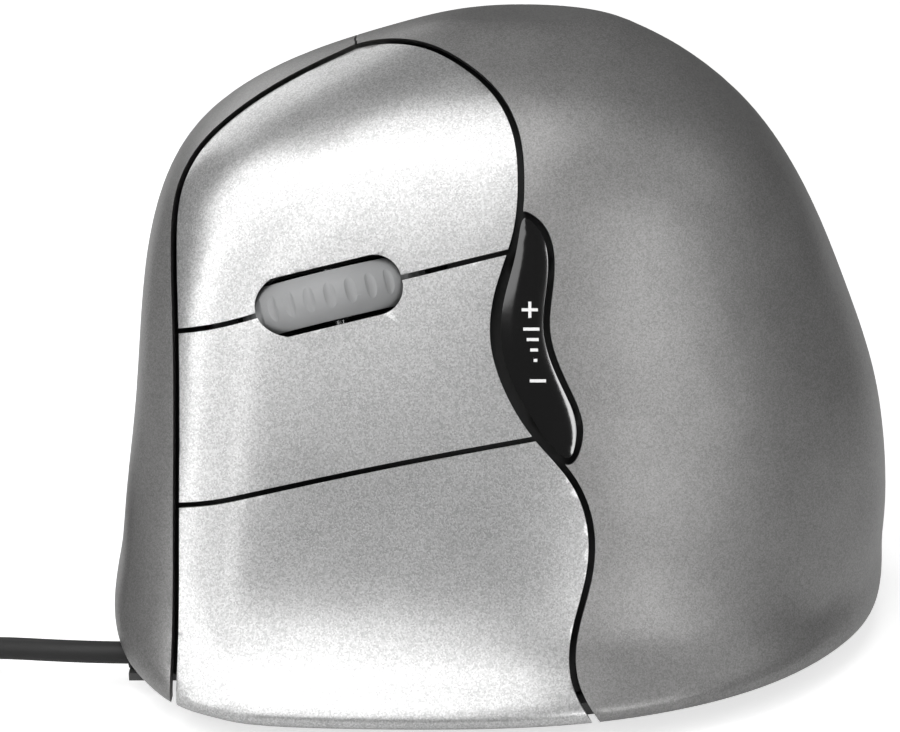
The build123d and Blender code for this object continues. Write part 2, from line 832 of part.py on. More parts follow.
def rocker_pin_rod(gap):
    return rod_along_u(
        rocker_pivot_u_share * half_length, rocker_pivot_share * half_height,
        -rocker_pivot_depth, rocker_pin_radius + gap,
        rocker_rib_width + 2 * loose_gap + 2 * lug_width,
    )


# Finger buttons

def make_panels():
    """The three button panels, lowest first, cut from the shell along the seams."""
    panels = shell & face_prism(panel_outline(-seam_gap / 2))
    for shares in (upper_seam_shares, lower_seam_shares):
        panels -= face_prism(seam_strip(shares, button_gap))
    slot = extrude(RectangleRounded(slot_length, slot_width, slot_corner), 2 * face_reach_out)
    panels -= [on_wheel() * slot, on_wheel() * tyre_form(loose_gap, slot_width / 2)]
    return panels.solids().sort_by(Axis.Z)


def make_button(panel, knuckle_shares, spot):
    """A panel with its hinge knuckles and the nub that presses its switch."""
    hinge_u = hinge_u_share * half_length
    added, bores = [], []
    for share in knuckle_shares:
        w = share * half_height
        web = face_block(
            hinge_u, w, -hinge_depth, face_reach_out, 2 * knuckle_radius, knuckle_width
        )
        added.append(web & outer_form)
        added.append(rod_along_w(hinge_u, w, -hinge_depth, knuckle_radius, knuckle_width))
        bores.append(rod_along_w(
            hinge_u, w, -hinge_depth, hinge_radius + running_gap, 2 * knuckle_width
        ))
    tip = plunger_rise + switch_height - board_depth + nub_gap
    u, w = spot
    nub = face_rod(u * half_length, w * half_height, nub_radius, tip, face_reach_out)
    return (panel + added + [nub & outer_form]) - bores


def make_hinge_rod():
    low, high = hinge_span_shares
    return rod_along_w(
        hinge_u_share * half_length, (low + high) / 2 * half_height, -hinge_depth,
        hinge_radius, (high - low) * half_height,
    )


def make_rocker():
    cap = body_form(-rocker_proud) - body_form(rocker_thickness - rocker_proud)
    rocker = cap & face_prism(rocker_outline(0))
    u, w = rocker_pivot_u_share * half_length, rocker_pivot_share * half_height
    rib = face_block(
        u, w, -rocker_pivot_depth - 2 * rocker_pin_radius, 0, rocker_rib_width,
        rocker_rib_length,
    )
    rocker += rib
    reach = switch_reach_of_tact() + rocker_travel + nub_gap
    for post_u, post_w in rocker_post_shares:
        rocker += face_rod(
            post_u * half_length, post_w * half_height, rocker_post_radius, reach, 0
        )
    return rocker - rocker_pin_rod(running_gap)


def switch_reach_of_tact():
    return tact_height + stem_height - board_depth


# Scroll wheel

def tyre_form(margin, half):
    """A crowned ring about the axle, the tyre's radius swollen by a margin."""
    crown, shoulder = wheel_radius + margin, wheel_radius + margin - wheel_crown
    profile = make_face([
        Edge.make_line((hub_radius, -half), (shoulder, -half)),
        Edge.make_three_point_arc((shoulder, -half), (crown, 0), (shoulder, half)),
        Edge.make_line((shoulder, half), (hub_radius, half)),
        Edge.make_line((hub_radius, half), (hub_radius, -half)),
    ])
    return revolve(profile, Axis.Y)


def make_tyre():
    """A crowned rubber tyre whose cross grooves fade out where the crown falls away."""
    reach = wheel_radius + groove_radius - groove_depth
    cutters = []
    for step in range(groove_count):
        angle = 360 * step / groove_count
        place = Rot(0, angle, 0) * Pos(reach, 0, 0) * Rot(90, 0, 0)
        cutters.append(place * Cylinder(groove_radius, wheel_width))
    return on_wheel() * (tyre_form(0, wheel_width / 2) - cutters)


def make_hub():
    half = wheel_width / 2
    ring = Cylinder(hub_radius - running_gap, 2 * half) - Cylinder(hub_radius - hub_rim, 2 * half)
    web = Cylinder(hub_radius - hub_rim / 2, hub_web)
    boss = Cylinder(hub_boss_radius, 2 * half)
    mid = (hub_boss_radius + hub_radius - hub_rim) / 2
    cuts = [Cylinder(axle_radius + running_gap, 2 * half)]
    for step in range(hub_hole_count):
        place = Rot(0, 0, 360 * step / hub_hole_count) * Pos(mid, 0, 0)
        cuts.append(place * Cylinder(hub_hole_radius, hub_web))
    return on_wheel() * Rot(90, 0, 0) * (ring + [web, boss] - cuts)


def encoder_across():
    return -(carrier_half_width() + encoder_width / 2)


def make_axle():
    low = encoder_across() - encoder_width / 2 + carrier_wall
    high = carrier_half_width()
    return wheel_rod(0, (low + high) / 2, 0, axle_radius, high - low)


def make_carrier():
    outer = carrier_half_width()
    carrier = wheel_block(
        carrier_middle(), 0, -carrier_half_height, carrier_top, carrier_length(), 2 * outer
    )
    room = wheel_radius + carrier_gap
    carrier -= wheel_block(
        0, 0, -wheel_radius, wheel_radius, 2 * room, wheel_width + 2 * carrier_gap
    )
    carrier += wheel_rod(-carrier_pivot_reach, 0, 0, carrier_eye_radius, 2 * outer)
    carrier -= wheel_rod(-carrier_pivot_reach, 0, 0, carrier_pin_radius + running_gap, overrun)
    return carrier - wheel_rod(0, 0, 0, axle_radius + running_gap, overrun)


def make_encoder():
    encoder = wheel_block(
        0, encoder_across(), -encoder_below, encoder_above, encoder_length, encoder_width
    )
    return encoder - wheel_rod(0, encoder_across(), 0, axle_radius + running_gap, encoder_width)


def make_carrier_pin():
    return wheel_rod(-carrier_pivot_reach, 0, 0, carrier_pin_radius, 2 * carrier_pin_half())


# Button board and switches

def make_button_board():
    u0, u1 = (share * half_length for share in board_edge_shares[:2])
    w0, w1 = (share * half_height for share in board_edge_shares[2:])
    corners = (
        (u0, w0), (u1, w0), (u1, w1), (u0 + board_corner, w1), (u0, w1 - board_corner),
    )
    flat = make_face(Polyline(*corners, close=True))
    board = prism(flat, -board_depth - board_thickness, -board_depth)
    board -= wheel_block(
        0, 0, -wheel_radius, wheel_radius, 2 * (wheel_radius - carrier_gap / 2),
        wheel_width + 4 * loose_gap,
    )
    for u, w in pillar_shares:
        board -= face_rod(
            u * half_length, w * half_height, screw_radius + running_gap,
            -board_depth - overrun, overrun,
        )
    return board


def plunger_block(u, w, gap):
    low = switch_height - board_depth - plunger_sink
    return face_block(
        u * half_length, w * half_height, low - gap, plunger_rise + switch_height - board_depth,
        plunger_length + 2 * gap, plunger_width + 2 * gap,
    )


def make_switch(spot):
    """A microswitch housing with the well its plunger slides in."""
    u, w = spot
    housing = face_block(
        u * half_length, w * half_height, -board_depth, switch_height - board_depth,
        switch_length, switch_width,
    )
    travel_room = prism_down(plunger_block(u, w, plunger_gap))
    return housing - travel_room


def prism_down(tool):
    """The plunger's room, run on inward by its rise so that it can travel."""
    normal = face.z_dir
    return tool + Pos(*(normal * -plunger_rise)) * tool


def tact(place):
    body = Box(tact_size, tact_size, tact_height, align=(Align.CENTER, Align.CENTER, Align.MIN))
    stem = Cylinder(
        stem_radius, tact_height + stem_height, align=(Align.CENTER, Align.CENTER, Align.MIN)
    )
    return place * (body + stem)


def make_rocker_switches():
    return [
        tact(on_face(u * half_length, w * half_height, -board_depth))
        for u, w in rocker_post_shares
    ]


def make_click_switch():
    place = on_wheel(carrier_switch_reach, 0, wheel_depth - board_depth)
    body = Box(click_size, tact_size, click_height, align=(Align.CENTER, Align.CENTER, Align.MIN))
    stem = Cylinder(
        click_stem_radius, click_height + click_stem_height,
        align=(Align.CENTER, Align.CENTER, Align.MIN),
    )
    return place * (body + stem)


def thumb_board_plane():
    y, z = thumb_board_spot_share
    return Plane(
        origin=(thumb_board_x, y * half_length, z * body_height), x_dir=(0, 1, 0), z_dir=(1, 0, 0)
    )


def make_thumb_board():
    board = thumb_board_plane().location * Box(
        thumb_board_length, thumb_board_height, board_thickness,
        align=(Align.CENTER, Align.CENTER, Align.MIN),
    )
    for y, z in thumb_pillar_shares:
        board -= Pos(0, y * half_length, z * body_height) * Rot(0, 90, 0) * Cylinder(
            screw_radius + running_gap, body_width
        )
    return board


def make_thumb_switches():
    return [
        tact(Pos(thumb_board_face, y * half_length, z * body_height) * Rot(0, 90, 0))
        for y, z in thumb_button_spots_share
    ]


# Main board

def main_board_spot(x_share, y_share):
    return x_share * half_width, y_share * half_length


def make_main_board():
    x0, x1 = (share * half_width for share in main_board_x_shares)
    y0, y1 = (share * half_length for share in main_board_y_shares)
    board = block(
        (x0 + x1) / 2, (y0 + y1) / 2, main_board_floor, x1 - x0, y1 - y0, board_thickness
    )
    for x, y in board_boss_shares:
        board -= upright(x * half_width, y * half_length, screw_radius + running_gap, 0, overrun)
    x, y = main_board_spot(*sensor_spot_share)
    return board - block(x, y, 0, window_width / 2, window_length / 2, overrun)


def make_sensor():
    x, y = main_board_spot(*sensor_spot_share)
    return block(x, y, board_top, sensor_width, sensor_length, sensor_height)


def make_lens():
    """The clear lens plate under the board, with a round eye over the window in the tray."""
    x, y = main_board_spot(*sensor_spot_share)
    plate = block(x, y, main_board_floor - lens_height, lens_width, lens_length, lens_height)
    eye = upright(x, y, lens_eye_radius, foot_height + foot_recess, main_board_floor)
    return plate + eye


def make_led():
    x, y = main_board_spot(*sensor_spot_share)
    rear = y - sensor_length / 2 - led_length
    barrel = Pos(x, rear, board_top + led_radius) * Rot(-90, 0, 0) * Cylinder(
        led_radius, led_length - led_radius, align=(Align.CENTER, Align.CENTER, Align.MIN)
    )
    tip = Pos(x, rear + led_length - led_radius, board_top + led_radius) * Sphere(led_radius)
    return barrel + tip


controller_share = (0.095, -0.180)
socket_share = (-0.179, 0.598)
capacitor_shares = ((-0.200, -0.020), (0.330, 0.180), (0.330, 0.330))


def make_controller():
    x, y = main_board_spot(*controller_share)
    return block(x, y, board_top, chip_size, chip_size, chip_height)


def make_capacitors():
    return [
        upright(*main_board_spot(*share), capacitor_radius, board_top, board_top + capacitor_height)
        for share in capacitor_shares
    ]


def make_socket():
    x, y = main_board_spot(*socket_share)
    return block(x, y, board_top, socket_length, socket_width, socket_height)


# Cord

def tube(points, radius, name):
    """A cord along straight runs joined by the largest arcs that fit; prints the radii."""
    corners = [Vector(*point) for point in points]
    bends = []
    for before, corner, after in zip(corners, corners[1:], corners[2:]):
        first, second = corner - before, after - corner
        turn = math.radians(first.get_angle(second))
        bends.append(arc_share * min(first.length, second.length) / math.tan(turn / 2))
    path = FilletPolyline(*points, radius=bends)
    section = Plane(origin=path @ 0, z_dir=path % 0).location * Circle(radius)
    solid = sweep(section, path=path)
    ratio = solid.volume / (math.pi * radius ** 2 * path.length)
    print(name, "radii", [round(bend, 1) for bend in bends])
    print(name, "length", round(path.length, 1), "volume ratio", round(ratio, 4))
    return solid


arc_share = 0.45
coil_rest = cord_radius + tie_thickness + tie_room  # height of the lowest turns' centre
coil_span = coil_turns / coil_layers  # turns in one spiral
coil_outer_radius = coil_inner_radius + coil_span * coil_pitch
coil_x = coil_west + coil_outer_radius
coil_top = coil_rest + (coil_layers - 1) * coil_pitch

inner_points = (
    (cord_exit_x, cord_inner_y, cord_exit_z),
    (cord_exit_x, 39.5, cord_exit_z),
    (-19.3, 34.9, 8.0),
    (-15.0, 32.2, 10.2),
    (-11.7, 31.6, 10.6),
)
lead_points = (
    (cord_exit_x, cord_inner_y, cord_exit_z),
    (cord_exit_x, 52.4, cord_exit_z),
    (-21.2, 60.2, 5.3),
    (-18.4, 68.4, 4.4),
    (-15.7, 77.4, 3.0),
    (-14.4, 87.0, 2.3),
    (coil_west, 96.5, coil_rest),
    (coil_west, coil_y, coil_rest),
)
# The tail's runs after the coil: length, heading from +X and drop.
tail_runs = (
    (14.0, 75.0, 0.0), (15.0, 60.0, 0.9), (14.0, 38.0, 2.3), (12.5, 14.0, 2.6), (10.5, -12.0, 1.7),
    (12.0, -40.0, 1.0), (11.0, -66.0, 0.5), (8.5, -90.0, 0.0),
)


def coil_place(turns):
    """Centre of the coil's cord after that many turns, clockwise from the lead's end."""
    layer = min(int(turns / coil_span), coil_layers - 1)
    share = turns / coil_span - layer
    inward = layer % 2 == 0
    radius = coil_inner_radius + coil_pitch * coil_span * ((1 - share) if inward else share)
    climb = 0.0
    for reversal in range(1, coil_layers):
        past = (turns - reversal * coil_span) * 2 + 0.5
        climb += min(max(past, 0), 1) * coil_pitch
    angle = math.pi - turns * 2 * math.pi
    return Vector(
        coil_x + radius * math.cos(angle), coil_y + radius * math.sin(angle), coil_rest + climb
    )


def coil_heading(turns):
    step = 0.01
    ahead, behind = coil_place(turns + step), coil_place(turns - step)
    if turns <= 0 or turns >= coil_turns:
        angle = math.pi - turns * 2 * math.pi
        return Vector(math.sin(angle), -math.cos(angle), 0)
    return (ahead - behind).normalized()


def biarc(start, start_way, end, end_way):
    """Two tangent arcs from one place and heading to another."""
    gap = end - start
    both = start_way + end_way
    a = 2 * (1 - start_way.dot(end_way))
    b = 2 * gap.dot(both)
    reach = (-b + math.sqrt(b * b + 4 * a * gap.dot(gap))) / (2 * a)
    knee, foot = start + start_way * reach, end - end_way * reach
    middle = (knee + foot) * 0.5
    return [
        Edge.make_tangent_arc(start, start_way, middle),
        Edge.make_tangent_arc(middle, (foot - knee).normalized(), end),
    ]


def coil_knots():
    """Turn counts at which the coil's arcs join: half turns, and quarters round each reversal."""
    knots = {0.0, coil_turns}
    for layer in range(coil_layers):
        start = layer * coil_span
        end = start + coil_span
        first = start + 0.25 if layer else start
        last = end - 0.25 if layer < coil_layers - 1 else end
        if layer:
            knots.add(start)
        pieces = max(round((last - first) * 2), 1)
        for piece in range(pieces + 1):
            knots.add(first + (last - first) * piece / pieces)
    return sorted(knots)


def make_coil():
    knots = coil_knots()
    edges = []
    for first, last in zip(knots, knots[1:]):
        edges += biarc(
            coil_place(first), coil_heading(first), coil_place(last), coil_heading(last)
        )
    path = Wire(edges)
    start, way = coil_place(0), coil_heading(0)
    section = Plane(origin=start, z_dir=way).location * RegularPolygon(
        cord_radius, coil_sides, rotation=180 / coil_sides
    )
    print("coil length", round(path.length, 1), "least gap", round(coil_least_gap(), 2))
    return sweep(section, path=path)


def coil_least_gap():
    """Least distance between the coil's turns, measured on points, less the cord."""
    per_turn = 60
    count = int(coil_turns * per_turn)
    places = [coil_place(step / per_turn) for step in range(count)]
    least = body_length
    for index, place in enumerate(places):
        for other in places[index + per_turn // 2:]:
            least = min(least, (place - other).length)
    return least - cord_diameter


def tail_points():
    place = coil_place(coil_turns)
    points = [place]
    for length, heading, drop in tail_runs:
        angle = math.radians(heading)
        place = place + Vector(length * math.cos(angle), length * math.sin(angle), -drop)
        points.append(place)
    return [tuple(point) for point in points]


def make_ties():
    """Two flat straps round the coil's bundle, square to its turns."""
    low, high = coil_rest - cord_radius - tie_room, coil_top + cord_radius + tie_room
    inner = coil_inner_radius - cord_radius - tie_inner_room
    outer = coil_outer_radius + cord_radius + tie_room
    corner = cord_radius + tie_room
    room = RectangleRounded(outer - inner, high - low, corner)
    strap = RectangleRounded(
        outer - inner + 2 * tie_thickness, high - low + 2 * tie_thickness,
        corner + tie_thickness,
    )
    band = extrude(strap - room, tie_width / 2, both=True)
    place = Pos((outer + inner) / 2, 0, (high + low) / 2) * Rot(90, 0, 0)
    return [Pos(coil_x, coil_y, 0) * Rot(0, 0, angle) * place * band for angle in tie_angles]


def make_grommet():
    """A rubber sleeve through the shell's wall with a flange behind it, flat over the tongue."""
    sleeve = rod_along_y(
        cord_exit_x, cord_exit_z, grommet_radius, grommet_inner_y, grommet_outer_y
    )
    flange = rod_along_y(
        cord_exit_x, cord_exit_z, grommet_flange_radius, grommet_inner_y,
        grommet_inner_y + grommet_flange,
    )
    flange &= above(cord_exit_z - grommet_radius)
    bore = rod_along_y(
        cord_exit_x, cord_exit_z, cord_radius + running_gap, cord_inner_y, body_length
    )
    return sleeve + flange - bore


# Plug. Its own frame has the cord's end at the origin and the mouth toward +Z.

def at_plug():
    x, y, z = tail_points()[-1]
    return Pos(x, y, z) * Rot(90, 0, 0)


def plug_bar(width, height, start, end):
    return Pos(0, 0, start) * Box(
        width, height, end - start, align=(Align.CENTER, Align.CENTER, Align.MIN)
    )


plug_mouth = plug_neck_length + plug_grip_length - plug_sink + plug_shell_length


def make_plug_grip():
    """The moulded grip and its ringed neck, with the pocket that holds the metal shell."""
    grip_end = plug_neck_length + plug_grip_length
    flat = RectangleRounded(plug_grip_width, plug_grip_height, plug_grip_corner)
    grip = Pos(0, 0, plug_neck_length) * extrude(flat, plug_grip_length)
    neck = Cone(
        plug_neck_radius, plug_neck_root_radius, plug_neck_length,
        align=(Align.CENTER, Align.CENTER, Align.MIN),
    )
    pitch = plug_neck_length / (plug_ring_count + 1)
    rings = []
    for step in range(plug_ring_count):
        band = Cylinder(plug_neck_root_radius, plug_ring_width)
        core = Cylinder(plug_neck_radius - plug_ring_depth, plug_ring_width)
        rings.append(Pos(0, 0, pitch * (step + 1)) * (band - core))
    pocket = plug_bar(
        plug_shell_width + 2 * running_gap, plug_shell_height + 2 * running_gap,
        grip_end - plug_sink, grip_end,
    )
    return at_plug() * (grip + (neck - rings) - pocket)


def make_plug_shell():
    outside = plug_bar(
        plug_shell_width, plug_shell_height, plug_mouth - plug_shell_length, plug_mouth
    )
    inside = plug_bar(
        plug_shell_width - 2 * plug_shell_wall, plug_shell_height - 2 * plug_shell_wall,
        plug_mouth - plug_shell_length, plug_mouth,
    )
    return at_plug() * (outside - inside)


def plug_tongue_top():
    return plug_tongue_thickness + plug_shell_wall - plug_shell_height / 2


def make_plug_tongue():
    middle = plug_tongue_top() - plug_tongue_thickness / 2
    tongue = plug_bar(
        plug_shell_width - 2 * plug_shell_wall, plug_tongue_thickness,
        plug_mouth - plug_shell_length, plug_mouth - plug_shell_wall,
    )
    return at_plug() * Pos(0, middle, 0) * tongue


def make_plug_contacts():
    contacts = []
    start = plug_mouth - plug_contact_width - plug_contact_length
    for step in range(plug_contact_count):
        across = (step - (plug_contact_count - 1) / 2) * plug_contact_pitch
        pad = plug_bar(
            plug_contact_width, plug_contact_thickness, start, start + plug_contact_length
        )
        contacts.append(
            at_plug() * Pos(across, plug_tongue_top() + plug_contact_thickness / 2, 0) * pad
        )
    return contacts


parts_folder = "parts"


def write(name, shape):
    if isinstance(shape, (list, tuple)):
        shape = Compound(children=[Compound(item.wrapped) for item in shape])
    export_step(shape, f"{parts_folder}/{name}.step")


def write_casing():
    write("palm_shell", make_palm_shell())
    write("thumb_shell", make_thumb_shell())
    write("inner_frame", make_inner_frame())
    write("base_tray", make_base_tray())
    write("glide_feet", foot_pads(0))
    write("housing_screws", make_housing_screws())
    write("board_screws", make_board_screws())


def write_buttons():
    names = ("lower", "middle", "upper")
    knuckles = (lower_knuckle_shares, middle_knuckle_shares, upper_knuckle_shares)
    switches = []
    for name, panel, shares, spot in zip(names, make_panels(), knuckles, switch_spot_shares):
        write(f"{name}_button", make_button(panel, shares, spot))
        write(f"{name}_plunger", plunger_block(*spot, 0))
        switches.append(make_switch(spot))
    write("button_switches", switches)
    write("hinge_rod", make_hinge_rod())
    write("button_board", make_button_board())
    write("speed_rocker", make_rocker())
    write("rocker_pin", rocker_pin_rod(0))
    write("rocker_switches", make_rocker_switches())
    write("rear_thumb_button", make_thumb_button(1))
    write("front_thumb_button", make_thumb_button(0))
    write("thumb_board", make_thumb_board())
    write("thumb_switches", make_thumb_switches())


def write_wheel():
    write("wheel_tyre", make_tyre())
    write("wheel_hub", make_hub())
    write("wheel_axle", make_axle())
    write("wheel_carrier", make_carrier())
    write("wheel_encoder", make_encoder())
    write("carrier_pin", make_carrier_pin())
    write("click_switch", make_click_switch())


def write_electronics():
    write("main_board", make_main_board())
    write("optical_sensor", make_sensor())
    write("sensor_lens", make_lens())
    write("sensor_led", make_led())
    write("controller_chip", make_controller())
    write("capacitors", make_capacitors())
    write("cord_socket", make_socket())


def write_cord():
    write("cord_grommet", make_grommet())
    write("cord_inner", tube(inner_points, inner_cord_diameter / 2, "inner"))
    write("cord_lead", tube(lead_points, cord_radius, "lead"))
    write("cord_coil", make_coil())
    write("cord_ties", make_ties())
    write("cord_tail", tube(tail_points(), cord_radius, "tail"))
    write("plug_grip", make_plug_grip())
    write("plug_shell", make_plug_shell())
    write("plug_tongue", make_plug_tongue())
    write("plug_contacts", make_plug_contacts())


if __name__ == "__main__":
    os.makedirs(parts_folder, exist_ok=True)
    write_casing()
    write_buttons()
    write_wheel()
    write_electronics()
    write_cord()
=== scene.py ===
import math

import bpy
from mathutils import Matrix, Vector


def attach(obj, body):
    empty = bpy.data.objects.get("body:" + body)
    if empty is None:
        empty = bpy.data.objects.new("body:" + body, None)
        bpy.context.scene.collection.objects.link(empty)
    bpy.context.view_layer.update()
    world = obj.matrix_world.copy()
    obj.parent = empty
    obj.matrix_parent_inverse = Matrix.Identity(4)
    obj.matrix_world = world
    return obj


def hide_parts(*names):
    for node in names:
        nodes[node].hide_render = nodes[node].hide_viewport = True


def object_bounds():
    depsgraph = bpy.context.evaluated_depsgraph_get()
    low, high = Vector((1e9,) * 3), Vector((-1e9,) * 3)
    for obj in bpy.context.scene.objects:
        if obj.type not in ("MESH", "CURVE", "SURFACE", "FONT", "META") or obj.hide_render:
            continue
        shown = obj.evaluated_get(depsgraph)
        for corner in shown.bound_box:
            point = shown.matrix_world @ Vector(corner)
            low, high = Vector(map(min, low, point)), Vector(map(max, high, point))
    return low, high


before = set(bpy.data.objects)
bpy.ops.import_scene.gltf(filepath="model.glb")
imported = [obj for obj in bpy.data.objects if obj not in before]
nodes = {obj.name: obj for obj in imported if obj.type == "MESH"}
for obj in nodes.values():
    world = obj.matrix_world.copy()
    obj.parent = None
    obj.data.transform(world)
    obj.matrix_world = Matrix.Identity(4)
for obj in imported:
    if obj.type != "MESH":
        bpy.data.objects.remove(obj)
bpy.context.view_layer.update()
mm = 0.001
print("stage: frame loaded")


# A socket of a material, so that shader maths reads as plain expressions.
class Signal:
    def __init__(self, paint, socket):
        self.paint = paint
        self.socket = socket

    def math(self, operation, other=None, swapped=False):
        first, second = (other, self) if swapped else (self, other)
        values = [first] if other is None else [first, second]
        return self.paint.node("ShaderNodeMath", values, operation=operation)

    def __add__(self, other):
        return self.math("ADD", other)

    def __radd__(self, other):
        return self.math("ADD", other, True)

    def __sub__(self, other):
        return self.math("SUBTRACT", other)

    def __rsub__(self, other):
        return self.math("SUBTRACT", other, True)

    def __mul__(self, other):
        return self.math("MULTIPLY", other)

    def __rmul__(self, other):
        return self.math("MULTIPLY", other, True)

    def __abs__(self):
        return self.math("ABSOLUTE")

    def under(self, other):
        return self.math("LESS_THAN", other)

    def sine(self):
        return self.math("SINE")

    def span(self, start, end, curve="LINEAR"):
        (fromLow, fromHigh), (toLow, toHigh) = start, end
        values = {"Value": self, "From Min": fromLow, "From Max": fromHigh, "To Min": toLow,
                  "To Max": toHigh}
        return self.paint.node("ShaderNodeMapRange", values, interpolation_type=curve)

    def clamp(self):
        return self.span((0.0, 1.0), (0.0, 1.0))

    def fade(self, low, high):
        return self.span((low, high), (0.0, 1.0), "SMOOTHSTEP")

    def between(self, low, high):
        return self.span((0.0, 1.0), (low, high))


class Paint:
    def __init__(self, name):
        self.material = bpy.data.materials.new(name)
        self.material.use_nodes = True
        self.tree = self.material.node_tree
        self.shader = self.tree.nodes["Principled BSDF"]
        place = self.node("ShaderNodeTexCoord", output="Object")
        # Every pattern below is measured in millimetres.
        self.place = self.node(
            "ShaderNodeVectorMath", {"Vector": place, "Scale": 1 / mm}, operation="SCALE"
        )

    def node(self, kind, inputs=(), output=0, **settings):
        made = self.tree.nodes.new(kind)
        for key, value in settings.items():
            setattr(made, key, value)
        pairs = inputs.items() if isinstance(inputs, dict) else enumerate(inputs)
        for key, value in pairs:
            self.join(made.inputs[key], value)
        return Signal(self, made.outputs[output])

    def join(self, target, value):
        if isinstance(value, Signal):
            self.tree.links.new(value.socket, target)
        else:
            target.default_value = value

    def set(self, **values):
        for key, value in values.items():
            name = key[0].upper() + "".join(" " + c if c.isupper() else c for c in key[1:])
            self.join(self.shader.inputs[name], value)

    def noise(self, size, detail=2.0, roughness=0.5):
        return self.node("ShaderNodeTexNoise", {
            "Vector": self.place, "Scale": 1 / size, "Detail": detail, "Roughness": roughness,
        })

    def cells(self, size, output="Distance"):
        return self.node(
            "ShaderNodeTexVoronoi", {"Vector": self.place, "Scale": 1 / size}, output=output
        )

    def axis(self, name, place=None):
        return self.node("ShaderNodeSeparateXYZ", [place or self.place], output=name)

    def along(self, origin, direction):
        moved = self.node(
            "ShaderNodeVectorMath", [self.place, tuple(origin)], operation="SUBTRACT"
        )
        return self.node(
            "ShaderNodeVectorMath", [moved, tuple(direction)], output="Value",
            operation="DOT_PRODUCT",
        )

    def blend(self, factor, first, second):
        return self.node(
            "ShaderNodeMix", {0: factor, 6: first, 7: second}, output=2, data_type="RGBA"
        )

    def bump(self, height, depth, below=None):
        inputs = {"Height": height, "Distance": depth * mm, "Strength": 1.0}
        if below is not None:
            inputs["Normal"] = below
        return self.node("ShaderNodeBump", inputs)


class Sky(Paint):
    def __init__(self, world):
        world.use_nodes = True
        self.tree = world.node_tree
        self.shader = self.tree.nodes["Background"]


def grey(value, warmth=0.0):
    return (value * (1 + warmth), value, value * (1 - warmth), 1.0)


# Metal flake lacquer: bright and dark flakes over slow clouds, under a thin coat.
def luster(name, look):
    paint = Paint(name)
    flake = paint.axis("X", paint.cells(look["flakeSize"], output="Color"))
    cloud = paint.noise(look["cloudSize"], detail=3.0)
    wear = paint.noise(look["wearSize"], detail=4.0, roughness=0.6)
    tone = (flake * look["flakeShare"] + cloud * (1 - look["flakeShare"])).clamp()
    peel = paint.bump(paint.noise(look["peelSize"], detail=1.0), look["peelDepth"])
    paint.set(
        baseColor=paint.blend(tone, look["dark"], look["light"]),
        roughness=wear.between(look["smooth"], look["rough"]), metallic=look["metal"],
        normal=paint.bump(flake, look["flakeDepth"], peel), coatWeight=look["coat"],
        coatRoughness=look["coatRough"],
    )
    return paint.material


# Moulded plastic, rubber or plain metal with a fine grain.
def moulded(name, look):
    paint = Paint(name)
    cloud = paint.noise(look["cloudSize"], detail=3.0)
    grain = paint.cells(look["grainSize"])
    fine = paint.noise(look["grainSize"] / 2)
    share = look["grainShare"]
    paint.set(
        baseColor=paint.blend(cloud, look["dark"], look["light"]),
        roughness=fine.between(look["smooth"], look["rough"]), metallic=look["metal"],
        normal=paint.bump(grain * share + fine * (1 - share), look["grainDepth"]),
    )
    return paint.material


pewterPaint = {
    "flakeSize": 0.17, "flakeShare": 0.55, "flakeDepth": 0.007, "cloudSize": 9.0,
    "wearSize": 22.0, "peelSize": 1.6, "peelDepth": 0.006, "dark": grey(0.15, 0.01),
    "light": grey(0.33, 0.01), "smooth": 0.36, "rough": 0.48, "metal": 0.7, "coat": 0.25,
    "coatRough": 0.32,
}
frontPaint = dict(pewterPaint, dark=grey(0.16, 0.01), light=grey(0.34, 0.01))
silverPaint = {
    "flakeSize": 0.19, "flakeShare": 0.7, "flakeDepth": 0.008, "cloudSize": 7.0,
    "wearSize": 18.0, "peelSize": 1.4, "peelDepth": 0.005, "dark": grey(0.34),
    "light": grey(0.66), "smooth": 0.30, "rough": 0.38, "metal": 0.85, "coat": 0.4,
    "coatRough": 0.2,
}
blackPlastic = {
    "cloudSize": 6.0, "dark": grey(0.008), "light": grey(0.016), "grainSize": 0.35,
    "grainShare": 0.6, "grainDepth": 0.02, "smooth": 0.42, "rough": 0.62, "metal": 0.0,
}
trayPlastic = dict(blackPlastic, dark=grey(0.05), light=grey(0.075), grainSize=0.5, grainDepth=0.05)
gliderPlastic = dict(blackPlastic, dark=grey(0.012), light=grey(0.02), smooth=0.22, rough=0.34)
thumbPlastic = dict(blackPlastic, dark=grey(0.010), light=grey(0.018), smooth=0.24, rough=0.36)
cordRubber = dict(
    blackPlastic, dark=grey(0.003), light=grey(0.007), grainSize=0.22, grainDepth=0.03,
    smooth=0.48, rough=0.66,
)
wheelRubber = dict(
    blackPlastic, dark=grey(0.26, -0.01), light=grey(0.33, -0.01), grainSize=0.25, smooth=0.5,
    rough=0.64,
)
paleNylon = dict(blackPlastic, dark=grey(0.55, 0.03), light=grey(0.68, 0.03), smooth=0.4, rough=0.5)
darkResin = dict(blackPlastic, dark=grey(0.012), light=grey(0.02), grainSize=0.18)
steelWork = {
    "cloudSize": 1.2, "dark": grey(0.42), "light": grey(0.62), "grainSize": 0.12,
    "grainShare": 0.6, "grainDepth": 0.003, "smooth": 0.2, "rough": 0.34, "metal": 1.0,
}
blackSteel = dict(steelWork, dark=grey(0.03), light=grey(0.06), smooth=0.34, rough=0.5)
canMetal = dict(steelWork, dark=grey(0.5), light=grey(0.66), smooth=0.28, rough=0.42)
goldPlate = dict(steelWork, dark=(0.62, 0.40, 0.10, 1), light=(0.85, 0.60, 0.20, 1))

